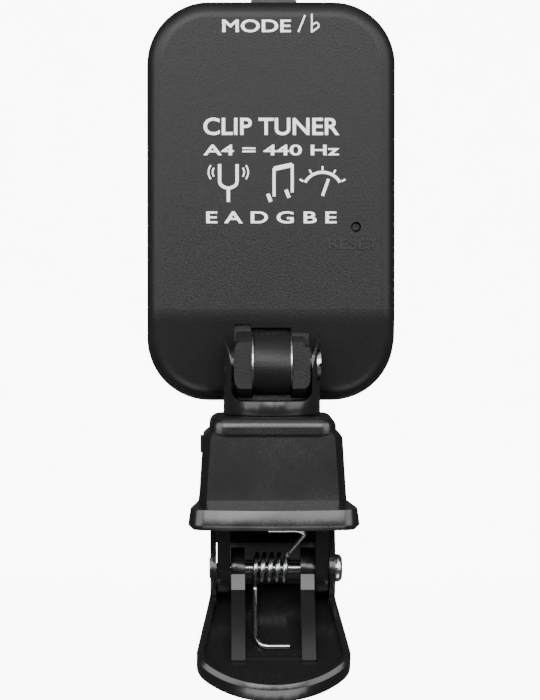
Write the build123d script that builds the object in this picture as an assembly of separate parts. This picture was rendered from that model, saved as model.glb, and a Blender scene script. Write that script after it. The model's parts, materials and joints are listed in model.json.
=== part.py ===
from build123d import *
import os
from math import cos, radians, sin

# Clip-on tuner, in millimetres.
# +Z is up, +Y points from the handles to the jaw tips and the display side, +X is to the right
# for someone who looks at the back. The origin is the middle of the upper jaw pad's gripping face.

# --- clip -----------------------------------------------------------------
PIVOT_Y = -19.0          # pivot pin, level with the gripping faces
PIN_R = 0.75
RUNNING = 0.05           # radial clearance of a shaft in its bore
JAW_TIP_Y = 8.5
PAD_L = 14.0
PAD_W = 14.0
PAD_T = 2.5
PAD_GAP = 0.3            # between the two pads with the clip closed
PLATE_TOP = 10.2         # upper handle and floor of the riser
PLATE_T = 3.5
HANDLE_DROP = 0.65       # the handle's top falls this much from the riser to its end
HANDLE_END_Y = -34.3
HANDLE_HALF = 12.55
NECK_HALF = 11.15
EDGE_DRAFT = 8           # degrees, outer edge of the upper handle
EAR_IN, EAR_OUT = 6.2, 8.1        # ears of the upper arm, each side of the middle
RIB_IN, RIB_OUT = 4.05, 6.05      # inner cheeks of the lower arm
CHEEK_IN, CHEEK_OUT = 8.2, 9.1   # outer cheeks of the lower arm
EAR_R = 3.8
LOWER_ANGLE = 35.0       # lower handle below the horizontal
LOWER_IN, LOWER_OUT = 4.1, 6.1    # lower handle's faces, from the pin's axis
LOWER_END = 22.0
PADDLE_HALF = 11.05
JAW_T = 2.7

# --- spring ---------------------------------------------------------------
WIRE_R = 0.375
COIL_R = 1.97
COIL_LEFT, COIL_RIGHT = -2.6, 2.05
COIL_TURNS = 4.25
HOOK_Z = 6.25            # upper leg, under the handle

# --- swivel ---------------------------------------------------------------
SWIVEL_Y = -14.0
HINGE_Z = 29.6
FORK_R = 7.15
SLOT_LEFT, SLOT_RIGHT = -6.0, 5.85
SLOT_FLOOR = HINGE_Z - 5.2
FORK_BASE = 22.4
RISER_TOP = 22.25
RISER_ROOF = 3.0
NECK_R = 4.0
NECK_BOTTOM = 18.75
SCREW_R = 1.2            # hinge screw

# --- head -----------------------------------------------------------------
HEAD_W = 37.0
HEAD_TOP = 83.5
HEAD_BOTTOM = HINGE_Z - 4.9
HEAD_R = 9.3
HEAD_MID = (HEAD_TOP + HEAD_BOTTOM) / 2
HEAD_H = HEAD_TOP - HEAD_BOTTOM
REAR_Y = SWIVEL_Y + 3.5
PARTING_Y = REAR_Y + 7.2
FRONT_Y = REAR_Y + 12.0
FOOT_Y = REAR_Y + 3.0    # foot of the sloping lower back
BEND_Z = HINGE_Z + 7.2
REAR_EDGE_R = 2.4
WALL = 1.5
PROUD = 0.15             # the front case stands this much outside the rear case
RIM_DROP = 0.85          # and this much below it
LUG_IN, LUG_OUT = 3.0, 5.6
LUG_R = 4.95

WINDOW_W, WINDOW_H, WINDOW_Z = 30.0, 42.0, 57.0
WINDOW_T = 1.0
VIEW_W, VIEW_H = 25.0, 36.0
FRONT_WALL = 1.6
BOARD_BACK = PARTING_Y - 1.4
BOARD_T = 0.8
BOARD_FRONT = BOARD_BACK + BOARD_T
BOARD_BOTTOM, BOARD_TOP = 29.5, 79.5
BOSS_X = 14.5
BOSS_Z = (38.0, 70.0)

MODE_LEFT, MODE_RIGHT = -3.05, 3.8
MODE_BACK, MODE_FRONT = -8.1, -5.0
RESET_X, RESET_Z = 12.6, 50.0
POWER_Z = 31.3
POWER_R = 3.0
USB_Z = 62.0


# --- shared shapes --------------------------------------------------------
def block(x0, x1, y0, y1, z0, z1):
    box = Box(x1 - x0, y1 - y0, z1 - z0)
    return Pos((x0 + x1) / 2, (y0 + y1) / 2, (z0 + z1) / 2) * box


def rod_x(radius, x0, x1, y, z):
    return Pos((x0 + x1) / 2, y, z) * Rot(0, 90, 0) * Cylinder(radius, x1 - x0)


def rod_y(radius, y0, y1, x, z):
    return Pos(x, (y0 + y1) / 2, z) * Rot(90, 0, 0) * Cylinder(radius, y1 - y0)


def rod_z(radius, z0, z1, x=0.0, y=SWIVEL_Y):
    return Pos(x, y, (z0 + z1) / 2) * Cylinder(radius, z1 - z0)


def side_prism(points, x0, x1):
    """A prism along X whose outline is given in (y, z)."""
    outline = make_face(Polyline(*points, close=True))
    return Pos(x0, 0, 0) * extrude(Plane.YZ * outline, x1 - x0)


def back_prism(points, y0, y1):
    """A prism along Y whose outline is given in (x, z)."""
    outline = make_face(Polyline(*points, close=True))
    return Pos(0, y1, 0) * Rot(90, 0, 0) * extrude(outline, y1 - y0)


def face_plate(width, height, radius, y0, y1, z_mid):
    """A rounded rectangle seen from the back, as thick as y0 to y1."""
    outline = RectangleRounded(width, height, radius)
    return Pos(0, y1, z_mid) * Rot(90, 0, 0) * extrude(outline, y1 - y0)


def both_sides(make, inner, outer):
    return make(inner, outer) + make(-outer, -inner)


def pan_screw_z(x, y, head_z0, head_z1, head_r, tip_z, shank_r):
    head = rod_z(head_r, head_z0, head_z1, x, y)
    driver = block(x - head_r * 0.7, x + head_r * 0.7, y - 0.2, y + 0.2, head_z0, head_z0 + 0.4)
    return head + rod_z(shank_r, head_z1, tip_z, x, y) - driver


# --- upper arm ------------------------------------------------------------
PLATE_BOTTOM = PLATE_TOP - PLATE_T
JAW_BACK_Y = -8.0
SCREW_X, SCREW_Y = 8.6, -11.5


def upper_plan():
    """Outline from above: flared handle with a bowed end, straight neck, tapering jaw."""
    half = [
        (NECK_HALF, -22.5),
        (NECK_HALF, -5.0),
        (8.2, JAW_TIP_Y - 3.2),
        (5.0, JAW_TIP_Y),
    ]
    corner_y = HANDLE_END_Y + 1.3
    left = [(-x, y) for x, y in reversed(half)]
    sides = Polyline((HANDLE_HALF, corner_y), *half, *left, (-HANDLE_HALF, corner_y))
    end = ThreePointArc((-HANDLE_HALF, corner_y), (0, HANDLE_END_Y), (HANDLE_HALF, corner_y))
    outline = make_face(sides + end)
    corners = outline.vertices().sort_by(Axis.Y)[:2]
    return fillet(corners, 2.8)


def jaw_solid(profile, half, low_z, high_z):
    """A jaw: its side view, trimmed to a plan that narrows to the tip."""
    plan = [(half, -18.0), (half, -6.0), (8.0, JAW_TIP_Y - 3.0), (5.0, JAW_TIP_Y)]
    outline = make_face(Polyline(*plan, *[(-x, y) for x, y in reversed(plan)], close=True))
    return side_prism(profile, -half, half) & (Pos(0, 0, low_z) * extrude(outline, high_z - low_z))


def upper_arm():
    edge = 0.7
    widest = Pos(0, 0, PLATE_BOTTOM + edge)
    plate = widest * extrude(upper_plan(), PLATE_T - edge, taper=EDGE_DRAFT)
    plate += widest * Rot(0, 180, 0) * extrude(upper_plan(), edge, taper=45)
    plate_side = [
        (HANDLE_END_Y - 1, 0),
        (HANDLE_END_Y - 1, PLATE_TOP - HANDLE_DROP),
        (HANDLE_END_Y, PLATE_TOP - HANDLE_DROP),
        (SWIVEL_Y - 9.4, PLATE_TOP),
        (-4.6, PLATE_TOP),
        (JAW_TIP_Y - 1.5, 6.3),
        (JAW_TIP_Y - 1.5, 0),
    ]
    arm = plate & side_prism(plate_side, -HANDLE_HALF - 1, HANDLE_HALF + 1)
    jaw_side = [
        (-5.4, PLATE_BOTTOM + 1.2),
        (JAW_TIP_Y - 2.8, PLATE_BOTTOM),
        (JAW_TIP_Y - 1.5, 6.3),
        (JAW_TIP_Y, 4.6),
        (JAW_TIP_Y, PAD_T + 0.2),
        (JAW_BACK_Y, PAD_T + 0.2),
        (JAW_BACK_Y - 3.0, PLATE_BOTTOM),
        (JAW_BACK_Y - 3.0, PLATE_BOTTOM + 1.2),
    ]
    arm += jaw_solid(jaw_side, 8.6, 0, PLATE_TOP)
    ear_block = [
        (PIVOT_Y - EAR_R, 0),
        (PIVOT_Y + EAR_R, 0),
        (PIVOT_Y + EAR_R + 1.6, PLATE_BOTTOM + 0.5),
        (PIVOT_Y - EAR_R - 1.6, PLATE_BOTTOM + 0.5),
    ]
    arm += both_sides(lambda a, b: side_prism(ear_block, a, b), EAR_IN, EAR_OUT)
    arm += both_sides(lambda a, b: rod_x(EAR_R, a, b, PIVOT_Y, 0), EAR_IN, EAR_OUT)
    arm -= rod_x(PIN_R, -EAR_OUT - 1, EAR_OUT + 1, PIVOT_Y, 0)
    arm -= block(-5.6, 5.6, -5.4, 5.4, 0, 4.9)
    for x in (-SCREW_X, SCREW_X):
        arm -= rod_z(0.85, 0, PLATE_TOP + 1, x, SCREW_Y)
        arm -= rod_z(1.6, 0, PLATE_BOTTOM + 1.0, x, SCREW_Y)
    return arm


def riser_screws():
    made = [
        pan_screw_z(x, SCREW_Y, PLATE_BOTTOM + 0.05, PLATE_BOTTOM + 1.0, 1.45, 15.0, 0.75)
        for x in (-SCREW_X, SCREW_X)
    ]
    return made[0] + made[1]


def pad(z_back, z_face):
    """A rubber pad with shallow grooves across its gripping face."""
    low, high = sorted((z_back, z_face))
    body = Pos(0, 0, low) * extrude(RectangleRounded(PAD_W, PAD_L, 2.0), high - low)
    groove_count, groove_pitch, groove_r = 5, 2.4, 0.35
    for i in range(groove_count):
        y = (i - (groove_count - 1) / 2) * groove_pitch
        body -= rod_x(groove_r, -PAD_W, PAD_W, y, z_face)
    return body


def upper_pad():
    spigot = Pos(0, 0, PAD_T) * extrude(RectangleRounded(11.0, 10.6, 0.4), 1.4)
    return pad(PAD_T + 0.2, 0.0) + spigot


def lower_pad():
    return pad(-PAD_GAP - PAD_T, -PAD_GAP)


# --- lower arm ------------------------------------------------------------
def handle_plane():
    """Plane through the pin's axis: local y runs down the lower handle, z out of its back."""
    a = radians(LOWER_ANGLE)
    return Plane(origin=(0, PIVOT_Y, 0), x_dir=(1, 0, 0), z_dir=(0, sin(a), -cos(a)))


def handle_point(along, out):
    a = radians(LOWER_ANGLE)
    y = PIVOT_Y - cos(a) * along + sin(a) * out
    z = -sin(a) * along - cos(a) * out
    return y, z


def paddle_outline():
    """The lower handle seen square on: narrow beside the pin, flared, with a bowed end."""
    root, start, wide, corner = -1.2, 1.5, 14.0, LOWER_END - 6.0
    right = [(CHEEK_OUT, root), (CHEEK_OUT, start), (PADDLE_HALF, wide), (PADDLE_HALF, corner)]
    left = [(-x, y) for x, y in reversed(right)]
    sides = Polyline(*left, *right)
    end = ThreePointArc((PADDLE_HALF, corner), (0, LOWER_END), (-PADDLE_HALF, corner))
    outline = make_face(sides + end)
    ends = [v for v in outline.vertices() if abs(v.Y - corner) < 0.1]
    outline = fillet(ends, 4.5)
    flare = [v for v in outline.vertices() if 0 < v.Y < start + 0.1]
    return fillet(flare, 16.0)


def lower_arm():
    plane = handle_plane()
    rim_w, rim_h, rim_edge = 1.1, 0.8, 0.55
    plate = extrude(paddle_outline(), LOWER_OUT - LOWER_IN + rim_h)
    plate = chamfer(plate.faces().sort_by(Axis.Z)[0].edges(), rim_edge)
    tray = extrude(offset(paddle_outline(), -rim_w), rim_h)
    tray += block(-CHEEK_IN, CHEEK_IN, -3, 3.5, -1, rim_h)
    arm = plane * Pos(0, 0, LOWER_IN - rim_h) * (plate - tray)

    jaw_side = [
        (PIVOT_Y + 3.3, -PAD_GAP - PAD_T),
        (JAW_TIP_Y, -PAD_GAP - PAD_T),
        (JAW_TIP_Y, -4.4),
        (JAW_TIP_Y - 2.2, -PAD_GAP - PAD_T - JAW_T),
        (PIVOT_Y + 2.9, -PAD_GAP - PAD_T - JAW_T),
        (PIVOT_Y + 1.5, -5.0),
    ]
    arm += jaw_solid(jaw_side, CHEEK_OUT, -12, 0)

    cheek = [
        (PIVOT_Y - 4.0, 1.9),
        (PIVOT_Y - 2.0, 5.9),
        (PIVOT_Y + 2.0, 5.9),
        (PIVOT_Y + 6.0, -PAD_GAP - PAD_T),
        (PIVOT_Y + 3.1, -5.4),
        handle_point(2.8, LOWER_OUT - 0.1),
        handle_point(3.4, LOWER_IN - rim_h + 0.2),
        handle_point(3.8, 0.0),
    ]
    arm += both_sides(lambda a, b: side_prism(cheek, a, b), CHEEK_IN, CHEEK_OUT)
    arm += both_sides(lambda a, b: rod_x(4.4, a, b, PIVOT_Y, 0), CHEEK_IN, CHEEK_OUT)

    rib_end = 15.9
    rib = [
        (PIVOT_Y - 2.3, 1.8),
        (PIVOT_Y + 2.3, 1.8),
        (PIVOT_Y + 4.6, -PAD_GAP - PAD_T - 0.4),
        handle_point(-1.0, LOWER_IN + 0.3),
        handle_point(rib_end, LOWER_IN + 0.3),
        handle_point(rib_end, LOWER_IN - 0.5),
        handle_point(4.5, LOWER_IN - 3.8),
    ]
    arm += both_sides(lambda a, b: side_prism(rib, a, b), RIB_IN, RIB_OUT)
    arm += both_sides(lambda a, b: rod_x(3.0, a, b, PIVOT_Y, 0), RIB_IN, RIB_OUT)
    arm += plane * block(-RIB_IN - 0.5, RIB_IN + 0.5, 13.9, 14.9, LOWER_IN - 0.5, LOWER_IN + 0.3)
    arm -= rod_x(PIN_R + RUNNING, -12, 12, PIVOT_Y, 0)
    arm -= rod_x(PEEN_R + 0.15, -12, -CHEEK_OUT + 0.35, PIVOT_Y, 0)
    return arm


PEEN_R = 1.5


def pivot_pin():
    pin = rod_x(PIN_R, -CHEEK_OUT, CHEEK_OUT + 0.3, PIVOT_Y, 0)
    dome = rod_x(2.05, CHEEK_OUT + 0.06, CHEEK_OUT + 1.1, PIVOT_Y, 0)
    dome = fillet(dome.edges().filter_by(GeomType.CIRCLE).sort_by(Axis.X)[-1], 0.8)
    peened = rod_x(PEEN_R, -CHEEK_OUT - 0.15, -CHEEK_OUT + 0.3, PIVOT_Y, 0)
    return pin + dome + peened


def wire_run(points):
    """Straight spring wire through the points, with round joints at the bends."""
    made = None
    for start, stop in zip(points, points[1:]):
        line = Line(start, stop)
        run = sweep(Plane(origin=start, z_dir=line % 0) * Circle(WIRE_R), line)
        made = run if made is None else made + run
    for point in points[1:-1]:
        made += Pos(*point) * Sphere(WIRE_R)
    return made


def torsion_spring():
    height = COIL_RIGHT - COIL_LEFT
    path = Helix(height / COIL_TURNS, height, COIL_R)
    coil = sweep(Plane(origin=path @ 0, z_dir=path % 0) * Circle(WIRE_R), path, is_frenet=True)
    place = Pos(COIL_LEFT, PIVOT_Y, 0) * Rot(0, 90, 0) * Rot(0, 0, 90)
    coil = place * coil
    start = (place * Pos(*(path @ 0))).position
    stop = (place * Pos(*(path @ 1))).position
    low_y, low_z = handle_point(11.2, LOWER_IN - WIRE_R - 0.02)
    hook_y, hook_z = handle_point(12.9, LOWER_IN - WIRE_R - 0.02)
    lower = [
        tuple(start),
        (COIL_LEFT, low_y, low_z),
        (COIL_LEFT + 0.8, hook_y, hook_z),
        (2.3, hook_y, hook_z),
    ]
    upper = [
        tuple(stop),
        (4.3, -25.6, HOOK_Z - 1.0),
        (3.7, -26.6, HOOK_Z),
        (-0.7, -26.6, HOOK_Z),
    ]
    joints = Pos(*start) * Sphere(WIRE_R) + Pos(*stop) * Sphere(WIRE_R)
    return coil + joints + wire_run(lower) + wire_run(upper)


# --- riser and swivel -----------------------------------------------------
def riser_outline(panel_half, half, depth, bevel):
    points = [
        (-panel_half, -depth), (panel_half, -depth), (half, bevel - depth), (half, depth - bevel),
        (panel_half, depth), (-panel_half, depth), (-half, depth - bevel), (-half, bevel - depth),
    ]
    return make_face(Polyline(*points, close=True))


def riser_housing():
    shoulder_z = 20.4
    shoulder_drop = 1.1
    foot = Pos(0, SWIVEL_Y, PLATE_TOP) * riser_outline(9.6, 10.75, 9.1, 1.5)
    shoulder = Pos(0, SWIVEL_Y, shoulder_z) * riser_outline(8.95, 10.1, 8.9, 1.5)
    body = loft([foot, shoulder])
    top_edges = body.edges().filter_by(lambda e: e.center().Z > shoulder_z - 0.01)
    body = chamfer(top_edges, shoulder_drop)
    lip_bottom = shoulder_z - 0.95
    lip_plan = RectangleRounded(18.5, 18.1, 2.6)
    lip = Pos(0, SWIVEL_Y, lip_bottom) * extrude(lip_plan, RISER_TOP - lip_bottom)
    lip = fillet(lip.faces().sort_by(Axis.Z)[-1].edges(), 1.5)
    lip = fillet(lip.faces().sort_by(Axis.Z)[0].edges(), 0.4)
    body += lip
    body += block(-10.55, -9.9, SWIVEL_Y - 3.0, SWIVEL_Y + 3.0, 16.8, 19.1)
    body -= rod_z(NECK_R + RUNNING, PLATE_TOP, RISER_TOP + 1)
    body -= rod_z(6.4, PLATE_TOP - 1, RISER_TOP - RISER_ROOF)
    for x in (-SCREW_X, SCREW_X):
        body -= rod_z(0.75, PLATE_TOP - 1, 15.2, x, SCREW_Y)
    return body


DRUM_R = 4.5
DRUM_HALF = 2.75
DISC_T = 0.2
SEAT_LEFT, SEAT_RIGHT = -6.55, 6.6   # nut and screw head, in the ears' outer faces


def swivel_fork():
    ear_top = HINGE_Z + 3.7
    post = rod_z(FORK_R, FORK_BASE, ear_top)
    ear_shape = side_prism(
        [
            (SWIVEL_Y - 9, FORK_BASE), (SWIVEL_Y + 9, FORK_BASE), (SWIVEL_Y + 9, SLOT_FLOOR),
            (SWIVEL_Y + 4.4, HINGE_Z - 1.2), (SWIVEL_Y + 3.5, HINGE_Z + 1.2),
            (SWIVEL_Y - 3.5, HINGE_Z + 1.2), (SWIVEL_Y - 4.4, HINGE_Z - 1.2),
            (SWIVEL_Y - 9, SLOT_FLOOR),
        ],
        -10, 10,
    )
    ear_shape += rod_x(3.7, -10, 10, SWIVEL_Y, HINGE_Z)
    fork = post & ear_shape

    flare_z, flare_x = HINGE_Z + 1.5, 0.95
    slot_face = make_face(Polyline(
        (SLOT_LEFT, SLOT_FLOOR), (SLOT_RIGHT, SLOT_FLOOR), (SLOT_RIGHT, flare_z),
        (SLOT_RIGHT + flare_x, ear_top + 0.1), (SLOT_LEFT - flare_x, ear_top + 0.1),
        (SLOT_LEFT, flare_z), close=True,
    ))
    slot_face = fillet(slot_face.vertices().sort_by(Axis.Y)[:2], 1.6)
    fork -= Pos(0, 20, 0) * Rot(90, 0, 0) * extrude(slot_face, 60)
    toe = [
        (SWIVEL_Y + 4.6, SLOT_FLOOR + 0.6), (SWIVEL_Y + 9, SLOT_FLOOR + 0.6),
        (SWIVEL_Y + 9, FORK_BASE + 0.2), (SWIVEL_Y + 4.6, SLOT_FLOOR - 0.3),
    ]
    fork -= side_prism(toe, -6.2, 5.7)
    cradle = block(-5.2, 5.1, SWIVEL_Y + 0.8, SWIVEL_Y + 4.4, SLOT_FLOOR - 0.5, HINGE_Z - 3.9)
    cradle -= rod_x(LUG_R + 2 * RUNNING, -6, 6, SWIVEL_Y, HINGE_Z)
    rest = block(-2.85, 2.85, SWIVEL_Y + 0.8, SWIVEL_Y + 3.0, SLOT_FLOOR - 0.5, HINGE_Z - 3.5)
    fork += cradle + (rest - rod_x(DRUM_R + RUNNING, -4, 4, SWIVEL_Y, HINGE_Z))
    fork += rod_z(NECK_R, NECK_BOTTOM, FORK_BASE)
    fork -= rod_z(0.9, NECK_BOTTOM - 1, SLOT_FLOOR - 0.8)
    fork -= rod_x(SCREW_R, -10, 10, SWIVEL_Y, HINGE_Z)
    fork -= block(SEAT_RIGHT, 9, SWIVEL_Y - 9, SWIVEL_Y + 9, HINGE_Z - 2.45, HINGE_Z + 2.45)
    fork -= rod_x(1.95, -9, SEAT_LEFT, SWIVEL_Y, HINGE_Z)
    return fork


def swivel_screw():
    return pan_screw_z(0, SWIVEL_Y, NECK_BOTTOM - 1.8, NECK_BOTTOM - 0.6, 2.2, SLOT_FLOOR - 1.0, 0.9)


def swivel_washer():
    return rod_z(5.6, NECK_BOTTOM - 0.6, NECK_BOTTOM) - rod_z(0.95, 0, 30)


def wave_washer():
    return rod_z(5.3, NECK_BOTTOM + 0.05, 19.2) - rod_z(NECK_R + 0.1, 0, 30)


def hinge_screw():
    head = rod_x(2.25, SEAT_RIGHT, SEAT_RIGHT + 0.6, SWIVEL_Y, HINGE_Z)
    notch = [
        (SEAT_RIGHT + 0.7, HINGE_Z - 0.5),
        (SEAT_RIGHT + 0.7, HINGE_Z + 0.5),
        (SEAT_RIGHT + 0.2, HINGE_Z),
    ]
    head -= back_prism(notch, SWIVEL_Y - 3, SWIVEL_Y + 3)
    shank = rod_x(SCREW_R, SEAT_LEFT, SEAT_RIGHT, SWIVEL_Y, HINGE_Z)
    tip = rod_x(0.8, SEAT_LEFT - 0.28, SEAT_LEFT, SWIVEL_Y, HINGE_Z)
    return head + shank + tip


def hinge_nut():
    nut = Pos(SEAT_LEFT, SWIVEL_Y, HINGE_Z) * Rot(0, -90, 0) * extrude(RegularPolygon(1.9, 6), 0.28)
    return nut - rod_x(0.8, -8, -6, SWIVEL_Y, HINGE_Z)


def hinge_drum():
    half = DRUM_HALF
    drum = rod_x(DRUM_R, -half, half, SWIVEL_Y, HINGE_Z)
    return drum - rod_x(SCREW_R, -9, 9, SWIVEL_Y, HINGE_Z)


def ring_x(outer, inner, x0, x1):
    ring = rod_x(outer, x0, x1, SWIVEL_Y, HINGE_Z)
    return ring - rod_x(inner, x0 - 1, x1 + 1, SWIVEL_Y, HINGE_Z)


def friction_discs():
    outer = DRUM_HALF + DISC_T
    right = ring_x(4.2, SCREW_R, DRUM_HALF, outer)
    return right + ring_x(4.2, SCREW_R, -outer, -DRUM_HALF)


def ear_washers():
    left = ring_x(2.6, SCREW_R, SLOT_LEFT, -LUG_OUT - 0.04)
    right = ring_x(2.6, SCREW_R, LUG_OUT + 0.04, SLOT_RIGHT)
    return left + right


# --- head -----------------------------------------------------------------
def head_solid(inset, front_y):
    """The rear case's outer form, shrunk by inset: flat back, sloping foot, rounded corners."""
    points = [
        (front_y, HEAD_TOP + 5),
        (REAR_Y + inset, HEAD_TOP + 5),
        (REAR_Y + inset, BEND_Z),
        (FOOT_Y + inset, HEAD_BOTTOM),
        (FOOT_Y + inset + 1.2, HEAD_BOTTOM - 5),
        (front_y, HEAD_BOTTOM - 5),
    ]
    outline = make_face(Polyline(*points, close=True))
    bend = outline.vertices().sort_by_distance((REAR_Y + inset, BEND_Z))[0]
    outline = fillet(bend, 8.0)
    slab = Pos(-30, 0, 0) * extrude(Plane.YZ * outline, 60)
    size = 2 * inset
    return slab & face_plate(HEAD_W - size, HEAD_H - size, HEAD_R - inset, -40, front_y, HEAD_MID)


def back_edges(solid):
    found = []
    for edge in solid.edges():
        middle = edge.center()
        across = abs((edge % 0.5).X) > 0.99 and HEAD_BOTTOM + 3 < middle.Z < HEAD_TOP - 3
        if middle.Y < FOOT_Y + 0.2 and not across:
            found.append(edge)
    return found


def hinge_lug(x0, x1):
    flat_y = SWIVEL_Y - 3.6
    lug = rod_x(LUG_R, x0, x1, SWIVEL_Y, HINGE_Z)
    rims = lug.edges().filter_by(lambda e: abs(e.center().X) > (LUG_IN + LUG_OUT) / 2)
    lug = fillet(rims.filter_by(GeomType.CIRCLE), 1.0)
    lug &= block(x0, x1, flat_y, SWIVEL_Y + 9, HINGE_Z - 9, HINGE_Z + 9)
    arm = [
        (SWIVEL_Y, HINGE_Z - 3.3),
        (FOOT_Y + 1.0, HINGE_Z - 3.3),
        (FOOT_Y, HINGE_Z + 5.0),
        (SWIVEL_Y + 3.0, HINGE_Z + 4.4),
        (SWIVEL_Y, HINGE_Z + LUG_R - 0.6),
    ]
    return lug + side_prism(arm, x0, x1)


def rear_case():
    shell = head_solid(0.0, PARTING_Y)
    shell = fillet(back_edges(shell), REAR_EDGE_R)
    cavity = head_solid(WALL, PARTING_Y + 1)
    shell -= cavity
    boss = block(-7.2, 7.2, FOOT_Y - 2.4, PARTING_Y - 3.0, HEAD_BOTTOM + 0.5, BEND_Z + 2.0)
    shell += boss & head_solid(0.6, PARTING_Y)
    shell -= block(-LUG_IN, LUG_IN, -20, FOOT_Y + 0.4, HEAD_BOTTOM - 1, HINGE_Z + 5.4)
    shell -= block(-5.6, -LUG_IN, -20, REAR_Y + 1.1, HINGE_Z + 3.6, HINGE_Z + 5.9)
    shell += both_sides(hinge_lug, LUG_IN, LUG_OUT)
    step_y, arm_top = FOOT_Y - 2.6, HINGE_Z + 5.1
    shell -= block(4.75, LUG_OUT + 0.1, -20, step_y, HINGE_Z + 2.7, arm_top)
    shell -= block(-LUG_OUT - 0.1, -5.2, -20, step_y, HINGE_Z + 3.4, arm_top)
    shell -= block(LUG_IN, LUG_OUT + 0.1, -20, step_y, HINGE_Z + 4.1, arm_top)
    shell -= rod_x(4.85, -LUG_IN, LUG_IN, SWIVEL_Y, HINGE_Z)
    shell -= rod_x(SCREW_R + RUNNING, -9, 9, SWIVEL_Y, HINGE_Z)
    clear = 0.1
    shell -= block(MODE_LEFT - clear, MODE_RIGHT + clear, MODE_BACK - clear, MODE_FRONT + clear, 80, 90)
    shell -= rod_y(0.75, REAR_Y - 1, REAR_Y + WALL + 1, RESET_X, RESET_Z)
    shell -= block(16, 20, BOARD_BACK - 2.8, BOARD_BACK + 0.1, USB_Z - 3.9, USB_Z + 3.9)
    return shell


def front_case():
    top, low = HEAD_TOP + PROUD, HEAD_BOTTOM - RIM_DROP
    width, radius = HEAD_W + 2 * PROUD, HEAD_R + PROUD
    shell = face_plate(width, top - low, radius, PARTING_Y, FRONT_Y, (top + low) / 2)
    shell = fillet(shell.faces().sort_by(Axis.Y)[-1].edges(), 1.3)
    shell = chamfer(shell.faces().sort_by(Axis.Y)[0].edges(), 0.4)
    hollow = HEAD_W - 2 * WALL
    inner_y = FRONT_Y - FRONT_WALL
    shell -= face_plate(hollow, HEAD_H - 2 * WALL, HEAD_R - WALL, PARTING_Y - 1, inner_y, HEAD_MID)
    step_y = FRONT_Y - WINDOW_T - 0.05
    shell -= face_plate(WINDOW_W + 0.1, WINDOW_H + 0.1, 2.5, step_y, FRONT_Y + 1, WINDOW_Z)
    shell -= face_plate(VIEW_W, VIEW_H, 1.0, FRONT_Y - 4, FRONT_Y, WINDOW_Z)
    tall = HEAD_H - 2 * WALL
    lip_back, lip_front = PARTING_Y - 1.2, PARTING_Y + 1.5
    tongue = face_plate(hollow - 0.1, tall - 0.1, HEAD_R - WALL, lip_back, PARTING_Y, HEAD_MID)
    tongue += face_plate(hollow + 0.4, tall + 0.4, HEAD_R - WALL, PARTING_Y, lip_front, HEAD_MID)
    tongue -= face_plate(hollow - 1.5, tall - 1.5, HEAD_R - WALL - 0.7, -20, lip_front + 1, HEAD_MID)
    tongue -= block(15, 20, -20, PARTING_Y, USB_Z - 4.2, USB_Z + 4.2)
    shell += tongue
    for x in (-BOSS_X, BOSS_X):
        for z in BOSS_Z:
            shell += rod_y(1.7, BOARD_FRONT, FRONT_Y - FRONT_WALL + 0.2, x, z)
            shell -= rod_y(0.6, BOARD_FRONT - 1, FRONT_Y - FRONT_WALL - 0.3, x, z)
    shell -= rod_y(POWER_R + 0.1, FRONT_Y - 4, FRONT_Y + 1, 0, POWER_Z)
    return shell


def window():
    lens = face_plate(WINDOW_W, WINDOW_H, 2.45, FRONT_Y - WINDOW_T - 0.05, FRONT_Y - 0.05, WINDOW_Z)
    return chamfer(lens.faces().sort_by(Axis.Y)[-1].edges(), 0.2)


GLASS_BACK = FRONT_Y - FRONT_WALL - 1.65


def display_panel():
    glass_front = FRONT_Y - FRONT_WALL - 0.05
    panel = block(-13.6, 13.6, GLASS_BACK + 0.6, glass_front, WINDOW_Z - 19.2, WINDOW_Z + 19.2)
    for x in (-BOSS_X, BOSS_X):
        for z in BOSS_Z:
            panel -= rod_y(1.9, -10, 10, x, z)
    backing = block(-12.5, 12.5, GLASS_BACK, GLASS_BACK + 0.6, WINDOW_Z - 18.0, WINDOW_Z + 18.0)
    return panel + backing


def light_guide():
    return block(-12.0, 12.0, GLASS_BACK - 1.0, GLASS_BACK - 0.05, WINDOW_Z - 15.0, WINDOW_Z + 15.0)


def contact_strips():
    low = block(-11.5, 11.5, BOARD_FRONT, GLASS_BACK, WINDOW_Z - 17.8, WINDOW_Z - 16.0)
    high = block(-11.5, 11.5, BOARD_FRONT, GLASS_BACK, WINDOW_Z + 16.0, WINDOW_Z + 17.8)
    return low + high


def main_board():
    mid = (BOARD_BOTTOM + BOARD_TOP) / 2
    board = face_plate(32.0, BOARD_TOP - BOARD_BOTTOM, 6.5, BOARD_BACK, BOARD_FRONT, mid)
    for x in (-BOSS_X, BOSS_X):
        for z in BOSS_Z:
            board -= rod_y(0.85, BOARD_BACK - 1, BOARD_FRONT + 1, x, z)
    return board


def board_screws():
    made = []
    for x in (-BOSS_X, BOSS_X):
        for z in BOSS_Z:
            head = rod_y(1.35, BOARD_BACK - 0.7, BOARD_BACK, x, z)
            head -= block(x - 1, x + 1, BOARD_BACK - 0.8, BOARD_BACK - 0.4, z - 0.15, z + 0.15)
            made.append(head + rod_y(0.6, BOARD_BACK, FRONT_Y - FRONT_WALL - 0.4, x, z))
    return Compound(made)


def processor():
    return block(-15.0, -10.0, BOARD_BACK - 0.9, BOARD_BACK, 55.0, 60.0)


CELL_BACK = BOARD_BACK - 3.7


def battery_cell():
    cell = block(-9.0, 9.0, CELL_BACK, CELL_BACK + 3.2, 42.0, 71.0)
    return fillet(cell.edges().filter_by(Axis.Z), 1.2)


def battery_foam():
    return block(-8.0, 8.0, CELL_BACK + 3.2, BOARD_BACK, 44.0, 69.0)


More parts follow.
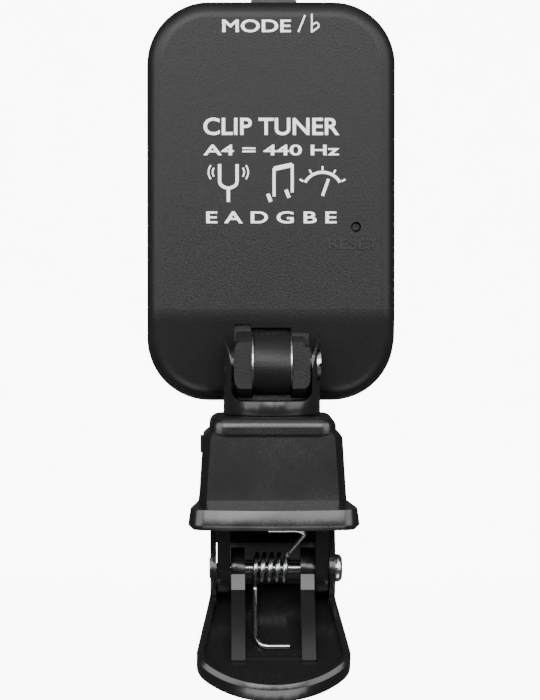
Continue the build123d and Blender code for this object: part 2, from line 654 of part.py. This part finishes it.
def battery_tabs():
    made = []
    for x in (-6.0, 6.0):
        foot = block(x - 1, x + 1, BOARD_BACK - 0.3, BOARD_BACK, 71.5, 74.0)
        rise = block(x - 1, x + 1, CELL_BACK + 1.2, BOARD_BACK, 71.2, 71.5)
        grip = block(x - 1, x + 1, CELL_BACK + 1.2, CELL_BACK + 2.2, 71.0, 71.5)
        made.append(foot + rise + grip)
    return Compound(made)


def usb_socket():
    shell = block(12.4, 18.1, BOARD_BACK - 2.6, BOARD_BACK, USB_Z - 3.7, USB_Z + 3.7)
    shell -= block(13.4, 19, BOARD_BACK - 2.3, BOARD_BACK - 0.3, USB_Z - 3.4, USB_Z + 3.4)
    return shell + block(12.9, 17.4, BOARD_BACK - 1.5, BOARD_BACK - 0.9, USB_Z - 2.4, USB_Z + 2.4)


def piezo_disc():
    return rod_y(5.5, PARTING_Y - 3.0, PARTING_Y - 2.7, 0, 32.6)


def piezo_contacts():
    left = rod_y(0.4, PARTING_Y - 2.7, BOARD_BACK, -2.4, 33.5)
    return left + rod_y(0.4, PARTING_Y - 2.7, BOARD_BACK, 2.4, 33.5)


MODE_MID = (MODE_LEFT + MODE_RIGHT) / 2
PLUNGER_Y = -6.5


def mode_button():
    tab = block(MODE_LEFT, MODE_RIGHT, MODE_BACK, MODE_FRONT, 81.4, HEAD_TOP + 0.8)
    ends = [e for e in tab.edges().filter_by(Axis.Y) if e.center().Z > HEAD_TOP]
    tab = chamfer(ends, 0.5)
    roof = HEAD_TOP - WALL - 0.05
    flange = block(MODE_LEFT - 1, MODE_RIGHT + 1, MODE_BACK - 0.3, MODE_FRONT + 0.2, roof - 1.0, roof)
    return tab + flange


def mode_plunger():
    return rod_z(0.65, 77.3, HEAD_TOP - WALL - 1.05, MODE_MID, PLUNGER_Y)


def mode_switch():
    body = block(MODE_MID - 2.2, MODE_MID + 2.2, -8.0, BOARD_BACK, 75.4, 78.4)
    return body - rod_z(0.65 + RUNNING, 76.4, 79, MODE_MID, PLUNGER_Y)


def reset_plunger():
    return rod_y(0.55, REAR_Y + 1.0, BOARD_BACK - 1.1, RESET_X, RESET_Z)


def reset_switch():
    body = block(RESET_X - 1.5, RESET_X + 1.5, BOARD_BACK - 1.6, BOARD_BACK, RESET_Z - 1.5, RESET_Z + 1.5)
    return body - rod_y(0.55 + RUNNING, BOARD_BACK - 2, BOARD_BACK - 0.6, RESET_X, RESET_Z)


def power_button():
    inner = FRONT_Y - FRONT_WALL
    cap = rod_y(POWER_R, inner - 0.6, FRONT_Y + 0.7, 0, POWER_Z)
    cap = fillet(cap.edges().sort_by(Axis.Y)[-1], 0.5)
    flange = rod_y(POWER_R + 0.8, inner - 1.0, inner - 0.05, 0, POWER_Z)
    return cap + flange + rod_y(0.75, -3.0, inner - 0.9, 0, POWER_Z)


def power_switch():
    body = block(-2.2, 2.2, BOARD_FRONT, BOARD_FRONT + 1.4, POWER_Z - 1.7, POWER_Z + 2.2)
    return body - rod_y(0.75 + RUNNING, BOARD_FRONT + 0.3, 0, 0, POWER_Z)


SUB_PARTS = {
    "upper_arm": upper_arm,
    "upper_pad": upper_pad,
    "riser_housing": riser_housing,
    "riser_screws": riser_screws,
    "pivot_pin": pivot_pin,
    "torsion_spring": torsion_spring,
    "lower_arm": lower_arm,
    "lower_pad": lower_pad,
    "swivel_fork": swivel_fork,
    "swivel_screw": swivel_screw,
    "swivel_washer": swivel_washer,
    "wave_washer": wave_washer,
    "hinge_screw": hinge_screw,
    "hinge_nut": hinge_nut,
    "hinge_drum": hinge_drum,
    "friction_discs": friction_discs,
    "ear_washers": ear_washers,
    "rear_case": rear_case,
    "front_case": front_case,
    "window": window,
    "display_panel": display_panel,
    "light_guide": light_guide,
    "contact_strips": contact_strips,
    "main_board": main_board,
    "board_screws": board_screws,
    "processor": processor,
    "battery_cell": battery_cell,
    "battery_foam": battery_foam,
    "battery_tabs": battery_tabs,
    "usb_socket": usb_socket,
    "piezo_disc": piezo_disc,
    "piezo_contacts": piezo_contacts,
    "mode_switch": mode_switch,
    "mode_button": mode_button,
    "mode_plunger": mode_plunger,
    "reset_switch": reset_switch,
    "reset_plunger": reset_plunger,
    "power_switch": power_switch,
    "power_button": power_button,
}

os.makedirs("parts", exist_ok=True)
for node, make in SUB_PARTS.items():
    export_step(make(), f"parts/{node}.step")
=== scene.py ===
import json
import math

import bmesh
import bpy
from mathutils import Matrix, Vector


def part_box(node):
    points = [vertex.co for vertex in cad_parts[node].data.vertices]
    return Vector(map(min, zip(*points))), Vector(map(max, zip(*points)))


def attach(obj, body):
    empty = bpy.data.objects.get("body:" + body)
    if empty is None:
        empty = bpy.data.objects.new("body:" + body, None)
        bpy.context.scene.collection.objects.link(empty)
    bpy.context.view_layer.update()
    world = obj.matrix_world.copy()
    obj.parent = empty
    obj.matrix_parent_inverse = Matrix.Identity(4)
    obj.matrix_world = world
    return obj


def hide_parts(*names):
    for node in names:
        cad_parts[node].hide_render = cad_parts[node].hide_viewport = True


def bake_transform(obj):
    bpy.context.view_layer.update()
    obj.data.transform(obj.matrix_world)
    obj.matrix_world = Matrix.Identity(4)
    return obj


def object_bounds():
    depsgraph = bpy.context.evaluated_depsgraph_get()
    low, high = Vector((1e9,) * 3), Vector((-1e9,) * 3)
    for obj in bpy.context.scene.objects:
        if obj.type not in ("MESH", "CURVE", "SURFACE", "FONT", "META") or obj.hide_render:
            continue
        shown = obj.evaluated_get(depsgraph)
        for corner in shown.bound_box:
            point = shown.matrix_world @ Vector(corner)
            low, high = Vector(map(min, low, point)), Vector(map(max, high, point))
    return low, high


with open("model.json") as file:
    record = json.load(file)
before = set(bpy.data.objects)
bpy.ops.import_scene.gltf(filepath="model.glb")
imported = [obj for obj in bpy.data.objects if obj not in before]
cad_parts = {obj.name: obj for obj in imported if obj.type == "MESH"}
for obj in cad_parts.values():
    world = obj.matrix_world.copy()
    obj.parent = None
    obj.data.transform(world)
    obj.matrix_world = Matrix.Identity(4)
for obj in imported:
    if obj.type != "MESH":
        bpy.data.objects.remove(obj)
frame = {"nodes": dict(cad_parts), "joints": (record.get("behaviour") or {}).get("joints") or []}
cad_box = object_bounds()
mm = 0.001


# Studio -------------------------------------------------------------------
# The tuner hangs well in front of a white card. Two tall soft boxes stand at its sides, two more
# light its back from above, a wide one hangs overhead and a low one lifts the undersides.
body_middle = (Vector(cad_box[0]) + Vector(cad_box[1])) / 2


def aim(thing, target):
    thing.rotation_euler = (target - thing.location).to_track_quat("-Z", "Y").to_euler()


camera_distance = 0.4435
camera_pitch = math.radians(1.6)
camera_turn = math.radians(-1.0)
camera_data = bpy.data.cameras.new("camera")
camera_data.lens = 153.0
camera = bpy.data.objects.new("camera", camera_data)
bpy.context.collection.objects.link(camera)
camera_target = Vector((-0.00020, -0.010, 0.03165))
camera.location = camera_target + camera_distance * Vector((
    math.sin(camera_turn) * math.cos(camera_pitch),
    -math.cos(camera_turn) * math.cos(camera_pitch),
    math.sin(camera_pitch),
))
aim(camera, camera_target)
bpy.context.scene.camera = camera


def soft_box(name, place, size, power):
    data = bpy.data.lights.new(name, "AREA")
    data.shape = "RECTANGLE"
    data.size, data.size_y = size
    data.energy = power
    lamp = bpy.data.objects.new(name, data)
    bpy.context.collection.objects.link(lamp)
    lamp.location = place
    aim(lamp, body_middle)
    return lamp


side_turn, side_reach, side_height = math.radians(52), 0.80, 0.30
side_size, key_size = (0.64, 0.70), (0.36, 0.60)
key_turn, key_rise, key_reach = math.radians(14), math.radians(25), 0.90
for hand_name, hand, side_power, key_power in (("left", -1, 6.0, 6.2), ("right", 1, 5.6, 4.8)):
    soft_box(
        hand_name + "_side_box",
        Vector((
            hand * side_reach * math.sin(side_turn),
            -side_reach * math.cos(side_turn),
            side_height,
        )),
        side_size, side_power,
    )
    soft_box(
        hand_name + "_key_box",
        body_middle + key_reach * Vector((
            hand * math.sin(key_turn) * math.cos(key_rise),
            -math.cos(key_turn) * math.cos(key_rise),
            math.sin(key_rise),
        )),
        key_size, key_power,
    )
top_place, top_size, top_power = Vector((0.0, -0.30, 0.75)), (0.90, 0.50), 1.5
low_place, low_size, low_power = Vector((0.0, -0.155, -0.343)), (0.40, 0.20), 1.1
soft_box("top_box", top_place, top_size, top_power)
soft_box("low_box", low_place, low_size, low_power)


def as_piece(name, shape):
    mesh = bpy.data.meshes.new(name)
    shape.to_mesh(mesh)
    shape.free()
    piece = bpy.data.objects.new(name, mesh)
    bpy.context.collection.objects.link(piece)
    return piece


def paper_sweep():
    """A card whose floor curves up into a backdrop, wider at the back. Reflections leave it out."""
    drop = 0.045
    floor_z = cad_box[0][2] - drop
    near, far, bend, top = 0.20, 1.0, 0.4, 0.9
    near_half, far_half = 0.09, 0.26
    line = [(near, floor_z)]
    steps = 16
    for i in range(steps + 1):
        turn = math.pi / 2 * i / steps
        line.append((far - bend + bend * math.sin(turn), floor_z + bend - bend * math.cos(turn)))
    line.append((far, top))
    shape = bmesh.new()
    rows = []
    for y, z in line:
        half = near_half + (far_half - near_half) * (y - near) / (far - near)
        rows.append([shape.verts.new((x, y, z)) for x in (-half, half)])
    for a, b in zip(rows, rows[1:]):
        face = shape.faces.new((a[0], a[1], b[1], b[0]))
        face.smooth = True
    sheet = as_piece("paper_sweep", shape)
    sheet.visible_glossy = False
    return sheet


class Wire:
    """One socket of a material. Arithmetic on it adds Math nodes."""

    def __init__(self, tree, socket=None):
        self.tree = tree
        self.socket = socket

    def node(self, kind, settings=None, sockets=None, out=0):
        made = self.tree.nodes.new(kind)
        for name, value in (settings or {}).items():
            if name == "stops":
                for place, shade in value:
                    stop = made.color_ramp.elements.new(place)
                    stop.color = (shade, shade, shade, 1.0) if isinstance(shade, float) else shade
                made.color_ramp.elements.remove(made.color_ramp.elements[0])
                made.color_ramp.elements.remove(made.color_ramp.elements[-1])
            else:
                setattr(made, name, value)
        for name, value in (sockets or {}).items():
            if isinstance(value, Wire):
                self.tree.links.new(value.socket, made.inputs[name])
            else:
                made.inputs[name].default_value = value
        return Wire(self.tree, made.outputs[out])

    def maths(self, operation, first, second=0.0):
        return self.node("ShaderNodeMath", {"operation": operation}, {0: first, 1: second})

    def __add__(self, other):
        return self.maths("ADD", self, other)

    def __mul__(self, other):
        return self.maths("MULTIPLY", self, other)

    __radd__ = __add__
    __rmul__ = __mul__

    def between(self, start, stop):
        """0 below start, 1 above stop, even in between."""
        return self.node("ShaderNodeMapRange", {}, {0: self, 1: start, 2: stop})


def blank(name):
    material = bpy.data.materials.new(name)
    material.use_nodes = True
    material.node_tree.nodes.clear()
    return material, Wire(material.node_tree)


def close_up(material, surface):
    out = material.node_tree.nodes.new("ShaderNodeOutputMaterial")
    material.node_tree.links.new(surface.socket, out.inputs["Surface"])
    return material


def colour(code):
    """Linear colour from a hex code."""
    parts = [int(code[i:i + 2], 16) / 255 for i in (0, 2, 4)]
    return (*[(p / 12.92 if p <= 0.04045 else ((p + 0.055) / 1.055) ** 2.4) for p in parts], 1.0)


def mixed(wire, amount, first, second):
    """Two colours mixed by amount."""
    return wire.node("ShaderNodeMix", {"data_type": "RGBA"}, {0: amount, 6: first, 7: second}, out=2)


def white_paper():
    material, wire = blank("white_paper")
    place = wire.node("ShaderNodeTexCoord", out=3)
    fibre = wire.node("ShaderNodeTexNoise", {}, {"Vector": place, "Scale": 60.0, "Detail": 4.0})
    tone = mixed(wire, fibre, colour("f2f2f2"), colour("fafafa"))
    sheet = wire.node(
        "ShaderNodeBsdfPrincipled",
        {},
        {"Base Color": tone, "Roughness": 0.9, "Emission Color": tone, "Emission Strength": 9.0},
    )
    return close_up(material, sheet)


sweep = paper_sweep()
sweep.data.materials.append(white_paper())

room_tone, room_glow = (0.88, 0.89, 0.9, 1.0), 0.08
world = bpy.data.worlds.new("room")
world.use_nodes = True
room = world.node_tree.nodes["Background"]
room.inputs["Color"].default_value = room_tone
room.inputs["Strength"].default_value = room_glow
bpy.context.scene.world = world


# Moulded cases, arms and riser ---------------------------------------------
# Black ABS shells, all from tools with a fine spark-eroded grain. Sharp tool edges come out with
# a small natural radius, and handling has left them slightly smoother in places.
def moulded_black(name, tone, shine, grain_mm, grain_depth, gloss=0.5):
    """Black plastic: shine is its roughness, gloss how strongly it mirrors, grain_mm its grain."""
    material, wire = blank(name)
    place = wire.node("ShaderNodeTexCoord", out=3)
    grain = wire.node(
        "ShaderNodeTexNoise", {}, {"Vector": place, "Scale": 1 / (grain_mm * mm), "Detail": 2.0}
    )
    handling = wire.node(
        "ShaderNodeTexNoise", {}, {"Vector": place, "Scale": 90.0, "Detail": 5.0, "Roughness": 0.6}
    )
    specks = wire.node("ShaderNodeTexNoise", {}, {"Vector": place, "Scale": 2400.0, "Detail": 1.0})
    dust = specks.between(0.72, 0.80)
    dark = colour(tone)
    light = tuple(min(1.0, c * 1.45) for c in dark[:3]) + (1.0,)
    base = mixed(wire, grain * 0.5 + handling * 0.3 + dust * 0.4, dark, light)
    rough = handling * 0.16 + grain * 0.08 + (shine - 0.12)
    bump = wire.node(
        "ShaderNodeBump", {}, {"Height": grain, "Distance": grain_depth * mm, "Strength": 0.6}
    )
    plastic = wire.node(
        "ShaderNodeBsdfPrincipled",
        {},
        {
            "Base Color": base, "Roughness": rough, "Normal": bump, "IOR": 1.5,
            "Specular IOR Level": gloss,
        },
    )
    return close_up(material, plastic)


def dress(node, material, edge_mm=0.0, angle=35):
    """Gives a CAD node its material, and softens its sharp edges as a moulding tool does."""
    piece = frame["nodes"][node]
    piece.data.materials.clear()
    piece.data.materials.append(material)
    if edge_mm:
        weld = piece.modifiers.new("weld", "WELD")
        weld.merge_threshold = 0.002 * mm
        edge = piece.modifiers.new("edge", "BEVEL")
        edge.width = edge_mm * mm
        edge.segments = 3
        edge.limit_method = "ANGLE"
        edge.angle_limit = math.radians(angle)
        edge.harden_normals = True
    return piece


case_black = moulded_black("case_black", "141415", 0.43, 0.30, 0.045, 0.28)
clip_black = moulded_black("clip_black", "111112", 0.25, 0.30, 0.008, 0.60)
post_black = moulded_black("post_black", "161617", 0.25, 0.40, 0.006, 0.50)
dress("rear_case", case_black)
dress("front_case", case_black)
dress("riser_housing", clip_black, 0.25)
dress("upper_arm", clip_black, 0.3)
dress("lower_arm", clip_black, 0.25)
dress("swivel_fork", post_black, 0.2)
dress("hinge_drum", case_black, 0.2)
dress("ear_washers", post_black)


# Buttons -------------------------------------------------------------------
# Smooth black keys: the tab on the top edge, the round key on the front and the short rod at the
# bottom of the reset hole. Each slides in its own opening.
key_black = moulded_black("key_black", "202022", 0.24, 0.5, 0.002)
dress("mode_button", key_black, 0.12)
dress("power_button", key_black)
dress("reset_plunger", key_black, 0.1)


# Bright steel --------------------------------------------------------------
# Nickel-plated pins, screws, discs and washers, turned or drawn, with fine lines round them.
def plated_steel(name, shine, tone):
    material, wire = blank(name)
    place = wire.node("ShaderNodeTexCoord", out=3)
    drawn = wire.node(
        "ShaderNodeVectorMath", {"operation": "MULTIPLY"}, {0: place, 1: (400.0, 9000.0, 9000.0)}
    )
    lines = wire.node("ShaderNodeTexNoise", {}, {"Vector": drawn, "Scale": 1.0, "Detail": 3.0})
    patches = wire.node("ShaderNodeTexNoise", {}, {"Vector": place, "Scale": 700.0, "Detail": 4.0})
    base = mixed(wire, patches, colour(tone), colour("d9dadb"))
    rough = lines * 0.14 + patches * 0.10 + (shine - 0.10)
    bump = wire.node("ShaderNodeBump", {}, {"Height": lines, "Distance": 0.002 * mm, "Strength": 0.5})
    steel = wire.node(
        "ShaderNodeBsdfPrincipled",
        {},
        {"Base Color": base, "Metallic": 1.0, "Roughness": rough, "Normal": bump},
    )
    return close_up(material, steel)


bright_steel = plated_steel("bright_steel_finish", 0.22, "a9abad")
for steel_node in (
    "pivot_pin", "hinge_screw", "hinge_nut", "friction_discs", "riser_screws", "swivel_screw",
    "swivel_washer", "wave_washer", "board_screws", "battery_tabs", "usb_socket",
):
    dress(steel_node, bright_steel)


# Clip spring ---------------------------------------------------------------
# One length of hard-drawn steel wire: a coil round the pivot pin, a leg hooked under the upper
# handle and a leg hooked on the lower one. Each leg goes with its handle as the clip opens; the
# coil stays as built and does not wind up.
def wire_tube(name, points, radius):
    """A round wire through the points."""
    data = bpy.data.curves.new(name, "CURVE")
    data.dimensions = "3D"
    data.bevel_depth = radius
    data.bevel_resolution = 5
    data.use_fill_caps = True
    line = data.splines.new("POLY")
    line.points.add(len(points) - 1)
    for point, place in zip(line.points, points):
        point.co = (*place, 1.0)
    curve = bpy.data.objects.new(name + "_line", data)
    bpy.context.collection.objects.link(curve)
    bpy.context.view_layer.update()
    shaped = curve.evaluated_get(bpy.context.evaluated_depsgraph_get())
    mesh = bpy.data.meshes.new_from_object(shaped)
    bpy.data.objects.remove(curve)
    piece = bpy.data.objects.new(name, mesh)
    mesh.name = name
    bpy.context.collection.objects.link(piece)
    for face in mesh.polygons:
        face.use_smooth = True
    return piece


def rounded_route(corners, bend, steps=8):
    """The corner points, each turned into an even curve of about that bend radius."""
    corners = [Vector(c) for c in corners]
    route = [corners[0]]
    for before, corner, after in zip(corners, corners[1:], corners[2:]):
        reach = min(bend, (before - corner).length * 0.45, (after - corner).length * 0.45)
        start = corner + (before - corner).normalized() * reach
        stop = corner + (after - corner).normalized() * reach
        for i in range(steps + 1):
            t = i / steps
            route.append(start * (1 - t) ** 2 + corner * 2 * t * (1 - t) + stop * t ** 2)
    route.append(corners[-1])
    return route


joints = {joint["name"]: joint for joint in frame["joints"]}
pivot = Vector(joints["clip_open"]["pos_m"])
wire_r = 0.375 * mm
coil_r = 1.97 * mm
coil_left, coil_right = -2.6 * mm, 2.05 * mm
coil_turns = 4.25
coil_start_turn = 0.55


def on_coil(share):
    """The place on the coil at this share of its length, from 0 at the left to 1 at the right."""
    turn = 2 * math.pi * (coil_start_turn - coil_turns * share)
    x = coil_left + (coil_right - coil_left) * share
    return pivot + Vector((x, coil_r * math.cos(turn), coil_r * math.sin(turn)))


coil_steps = 160
coil = wire_tube("spring_coil", [on_coil(i / coil_steps) for i in range(coil_steps + 1)], wire_r)

lower_lean = math.radians(35)
along = Vector((0, -math.cos(lower_lean), -math.sin(lower_lean)))
outward = Vector((0, math.sin(lower_lean), -math.cos(lower_lean)))


def on_handle(x, down, out):
    """A place given in millimetres from the pin: sideways, down the lower handle and out of it."""
    return pivot + Vector((x * mm, 0, 0)) + along * down * mm + outward * out * mm


foot_down, foot_out, lower_bend = 13.0, 3.65, 1.0 * mm
lower_corners = [
    on_coil(0.0),
    on_handle(-2.6, 2.2, 2.0),
    on_handle(-2.6, 11.3, foot_out),
    on_handle(-1.5, foot_down, foot_out),
    on_handle(2.3, foot_down, foot_out),
]
lower_leg = wire_tube("spring_lower_leg", rounded_route(lower_corners, lower_bend), wire_r)


def by_pin(x, y, z):
    """A place given in millimetres from the middle of the pivot pin."""
    return pivot + Vector((x, y, z)) * mm


hook_y, hook_z, upper_bend = -7.8, 6.25, 0.8 * mm
upper_corners = [
    on_coil(1.0),
    by_pin(2.2, -3.2, 2.4),
    by_pin(4.6, -7.2, hook_z - 0.6),
    by_pin(3.6, hook_y, hook_z),
    by_pin(-0.7, hook_y, hook_z),
]
upper_leg = wire_tube("spring_upper_leg", rounded_route(upper_corners, upper_bend), wire_r)
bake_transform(coil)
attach(lower_leg, "clip_lower")
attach(upper_leg, "clip_upper")
spring_steel = plated_steel("spring_steel", 0.20, "9fa1a3")
for part in (coil, lower_leg, upper_leg):
    part.data.materials.clear()
    part.data.materials.append(spring_steel)
    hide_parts("torsion_spring")


# Printed marks -------------------------------------------------------------
# White pad-printed lettering and signs on the back of the head, a few hundredths of a millimetre
# thick. They say what the key above them does and what the tuner is for.
def print_ink():
    material, wire = blank("print_ink")
    place = wire.node("ShaderNodeTexCoord", out=3)
    fade = wire.node("ShaderNodeTexNoise", {}, {"Vector": place, "Scale": 2500.0, "Detail": 3.0})
    patch = wire.node("ShaderNodeTexNoise", {}, {"Vector": place, "Scale": 200.0, "Detail": 2.0})
    tone = mixed(wire, fade * 0.7 + patch * 0.3, colour("ececed"), colour("fbfbfb"))
    ink = wire.node(
        "ShaderNodeBsdfPrincipled", {}, {"Base Color": tone, "Roughness": patch * 0.2 + 0.4}
    )
    return close_up(material, ink)


ink_white = print_ink()
print_t = 0.03 * mm


def lettering(name, words, x, z, height, width, thick, material, weight=0.018):
    """Thin words on the back of the head, centred on x and z. Places and sizes in millimetres."""
    data = bpy.data.curves.new(name, "FONT")
    data.body = words
    data.size = 1.0
    data.align_x = "LEFT"
    data.extrude = 0.5
    data.resolution_u = 6
    data.bevel_depth = weight
    holder = bpy.data.objects.new(name + "_type", data)
    bpy.context.collection.objects.link(holder)
    bpy.context.view_layer.update()
    shaped = holder.evaluated_get(bpy.context.evaluated_depsgraph_get())
    mesh = bpy.data.meshes.new_from_object(shaped)
    bpy.data.objects.remove(holder)
    spread_x = [v.co.x for v in mesh.vertices]
    spread_y = [v.co.y for v in mesh.vertices]
    wide, tall = max(spread_x) - min(spread_x), max(spread_y) - min(spread_y)
    for v in mesh.vertices:
        across = (v.co.x - min(spread_x)) / wide - 0.5
        up = (v.co.y - min(spread_y)) / tall - 0.5
        v.co = ((x + across * width) * mm, print_y - v.co.z * 2 * thick, (z + up * height) * mm)
    mesh.name = name
    piece = bpy.data.objects.new(name, mesh)
    bpy.context.collection.objects.link(piece)
    piece.data.materials.clear()
    piece.data.materials.append(material)
    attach(piece, "head")
    return piece


# The reset rod is 3.7 mm long and its end lies 1 mm below the printed face.
rod_low, rod_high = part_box("reset_plunger")
rod_half, rod_depth = 1.85 * mm, 1.0 * mm
print_y = (rod_low[1] + rod_high[1]) / 2 - rod_half - rod_depth
for name, words, x, z, height, width in (
    ("mode_word", "MODE", -2.2, 79.8, 1.9, 10.2),
    ("clip_tuner_words", "CLIP TUNER", 0.0, 64.9, 2.6, 20.2),
    ("pitch_words", "A4 = 440 Hz", 0.0, 61.4, 1.6, 20.2),
    ("strings_words", "E A D G B E", 0.0, 51.4, 1.8, 19.4),
):
    lettering(name, words, x, z, height, width, print_t, ink_white)


def printed_line(name, corners, wide, bend=0.4):
    """A printed stroke through the corners, given as (x, z) in millimetres, with round ends."""
    route = rounded_route([(x * mm, print_y, z * mm) for x, z in corners], bend * mm, 6)
    piece = wire_tube(name, route, wide * mm / 2)
    for v in piece.data.vertices:
        v.co.y = print_y + (v.co.y - print_y) * 2 * print_t / (wide * mm)
    piece.data.materials.clear()
    piece.data.materials.append(ink_white)
    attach(piece, "head")
    return piece


def ring_of(x, z, radius, start, stop, steps=14):
    """Points on an arc, in millimetres, from start to stop in degrees."""
    turns = [math.radians(start + (stop - start) * i / steps) for i in range(steps + 1)]
    return [(x + radius * math.cos(t), z + radius * math.sin(t)) for t in turns]


line_w, bold_w, thin_w = 0.46, 0.5, 0.26
printed_line("mode_slash", [(4.0, 78.9), (5.0, 81.4)], 0.28)
flat_x, flat_z = 6.0, 79.4
printed_line("flat_stem", [(flat_x, flat_z + 2.2), (flat_x, flat_z - 0.55)], thin_w)
flat_bowl = [
    (flat_x, flat_z - 0.5), (flat_x + 1.15, flat_z + 0.35),
    (flat_x + 0.75, flat_z + 1.0), (flat_x, flat_z + 0.5),
]
printed_line("flat_bowl", flat_bowl, thin_w)
fork_x, sign_z = -6.4, 56.5
tine_x, tine_top, tine_foot, yoke = 1.3, sign_z + 2.8, sign_z - 0.3, sign_z - 0.9
fork_tines = [
    (fork_x - tine_x, tine_top), (fork_x - tine_x, tine_foot), (fork_x, yoke),
    (fork_x + tine_x, tine_foot), (fork_x + tine_x, tine_top),
]
printed_line("fork_tines", fork_tines, bold_w, 1.2)
printed_line("fork_stem", [(fork_x, yoke), (fork_x, sign_z - 2.8)], bold_w)
for side in (-1, 1):
    for ring in (1, 2):
        facing = 0 if side > 0 else 180
        printed_line(
            f"fork_wave_{'left' if side < 0 else 'right'}_{ring}",
            ring_of(
                fork_x + side * tine_x, sign_z + 1.6, 0.45 + 0.6 * ring, facing - 38, facing + 38
            ),
            thin_w,
        )
note_x = 1.2
left_x, right_x = note_x - 0.8, note_x + 1.9
printed_line("note_stem_left", [(left_x, sign_z - 2.0), (left_x, sign_z + 2.2)], line_w)
printed_line("note_stem_right", [(right_x, sign_z - 1.4), (right_x, sign_z + 2.8)], line_w)
printed_line("note_beam", [(left_x, sign_z + 2.1), (right_x, sign_z + 2.7)], 0.7)
for side, (x, z) in (("left", (note_x - 1.5, sign_z - 2.2)), ("right", (note_x + 1.2, sign_z - 1.6))):
    printed_line(f"note_head_{side}", [(x - 0.25, z - 0.1), (x + 0.25, z + 0.1)], 1.3)
dial_x, dial_z = 7.6, sign_z - 1.4
printed_line("dial_arc", ring_of(dial_x, dial_z, 3.0, 150, 30, 20), line_w)
printed_line("dial_needle", [(dial_x, sign_z - 1.9), (dial_x + 0.9, sign_z + 0.6)], line_w)
for mark, turn in enumerate((150, 120, 90, 60, 30)):
    inner = ring_of(dial_x, dial_z, 3.3, turn, turn, 1)[0]
    outer = ring_of(dial_x, dial_z, 3.9, turn, turn, 1)[0]
    printed_line(f"dial_mark_{mark}", [inner, outer], 0.3)
raised_t, raised_weight = 0.16 * mm, 0.004
lettering("reset_word", "RESET", 12.2, 47.4, 1.5, 7.4, raised_t, key_black, raised_weight)


# Jaw pads ------------------------------------------------------------------
# Soft black rubber, moulded with five grooves and pushed into the jaws by a plug on the back.
def pad_rubber():
    material, wire = blank("pad_rubber_finish")
    place = wire.node("ShaderNodeTexCoord", out=3)
    bloom = wire.node("ShaderNodeTexNoise", {}, {"Vector": place, "Scale": 500.0, "Detail": 5.0})
    pores = wire.node("ShaderNodeTexNoise", {}, {"Vector": place, "Scale": 5000.0, "Detail": 2.0})
    tone = mixed(wire, bloom, colour("1c1c1e"), colour("2e2e31"))
    bump = wire.node("ShaderNodeBump", {}, {"Height": pores, "Distance": 0.01 * mm, "Strength": 0.6})
    rubber = wire.node(
        "ShaderNodeBsdfPrincipled",
        {},
        {"Base Color": tone, "Roughness": bloom * 0.15 + 0.62, "Normal": bump},
    )
    return close_up(material, rubber)


rubber = pad_rubber()
dress("upper_pad", rubber, 0.15)
dress("lower_pad", rubber, 0.15)
dress("contact_strips", rubber)
dress("battery_foam", rubber)


# Window and display --------------------------------------------------------
# A smoked acrylic window over a dark display panel, which is off.
def smoked_window():
    material, wire = blank("smoked_window")
    place = wire.node("ShaderNodeTexCoord", out=3)
    smears = wire.node("ShaderNodeTexNoise", {}, {"Vector": place, "Scale": 120.0, "Detail": 6.0})
    tone = mixed(wire, smears, colour("050607"), colour("0b0c0e"))
    pane = wire.node(
        "ShaderNodeBsdfPrincipled",
        {},
        {"Base Color": tone, "Roughness": smears * 0.08 + 0.03, "Alpha": 0.82, "Coat Weight": 0.4},
    )
    return close_up(material, pane)


def plain_finish(name, dark, light, size_mm, shine, metal=0.0):
    """A finish with a fine mottle, for pieces inside the case."""
    material, wire = blank(name)
    place = wire.node("ShaderNodeTexCoord", out=3)
    mottle = wire.node(
        "ShaderNodeTexNoise", {}, {"Vector": place, "Scale": 1 / (size_mm * mm), "Detail": 3.0}
    )
    tone = mixed(wire, mottle, colour(dark), colour(light))
    bump = wire.node("ShaderNodeBump", {}, {"Height": mottle, "Distance": 0.01 * mm, "Strength": 0.3})
    surface = wire.node(
        "ShaderNodeBsdfPrincipled",
        {},
        {"Base Color": tone, "Roughness": mottle * 0.1 + shine, "Metallic": metal, "Normal": bump},
    )
    return close_up(material, surface)


dress("window", smoked_window())
dress("display_panel", plain_finish("display_glass_finish", "0c0f12", "14181c", 3.0, 0.10))
dress("light_guide", plain_finish("frosted_guide", "dfe4e4", "eef1f1", 1.0, 0.35))


# Board, cell and switches ---------------------------------------------------
# The electronics, sealed in the head: a green board with its chip and switches, the foil cell
# behind it and the brass pick-up disc on the foot of the rear case.
dress("main_board", plain_finish("board_mask", "0d4426", "17603a", 0.6, 0.30))
chip = plain_finish("chip_resin", "101011", "1a1a1b", 0.1, 0.45)
for chip_node in ("processor", "mode_switch", "reset_switch", "power_switch", "mode_plunger"):
    dress(chip_node, chip)
dress("battery_cell", plain_finish("cell_foil_finish", "a6a9ac", "c4c7c9", 2.0, 0.30, 0.9))
brass = plain_finish("disc_brass_finish", "8f6f34", "b8964f", 0.8, 0.28, 1.0)
dress("piezo_disc", brass)
dress("piezo_contacts", brass)
